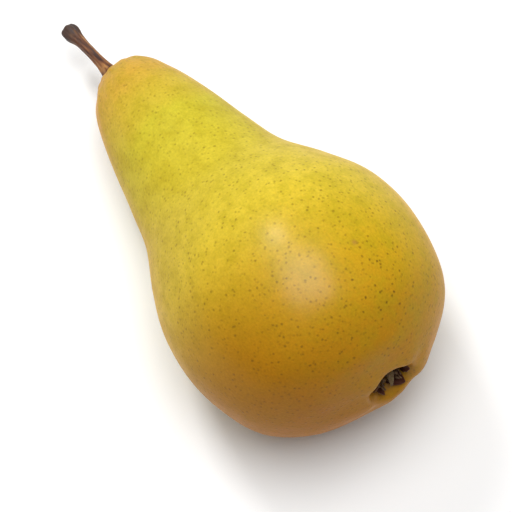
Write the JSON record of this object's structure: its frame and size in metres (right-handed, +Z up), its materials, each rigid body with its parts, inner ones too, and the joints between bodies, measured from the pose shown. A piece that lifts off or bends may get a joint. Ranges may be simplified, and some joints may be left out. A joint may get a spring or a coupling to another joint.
{
  "type": "pear",
  "caption": "Ripe yellow dessert pear with its woody stem and dried flower end, lying on its side.",
  "frame": {"origin": "middle of the small flat spot under the belly that the pear rests on", "axes": "+X level, from the stem end towards the flower end; +Y level, across the pear; +Z up"},
  "size_m": [0.1334, 0.0699, 0.0706],
  "materials": {
    "skin": "waxy satin skin with small brown pores",
    "stem_bark": "dull woody bark",
    "dry_sepal": "dull dried leaf",
    "dry_stamen": "dull dried flower threads",
    "dry_style": "dull dried flower threads"
  },
  "bodies": {
    "root": {"fruit": "skin", "stem": "stem_bark", "sepal_1": "dry_sepal", "sepal_2": "dry_sepal", "sepal_3": "dry_sepal", "sepal_4": "dry_sepal", "sepal_5": "dry_sepal", "stamens": "dry_stamen", "styles": "dry_style"}
  },
  "joints": []
}
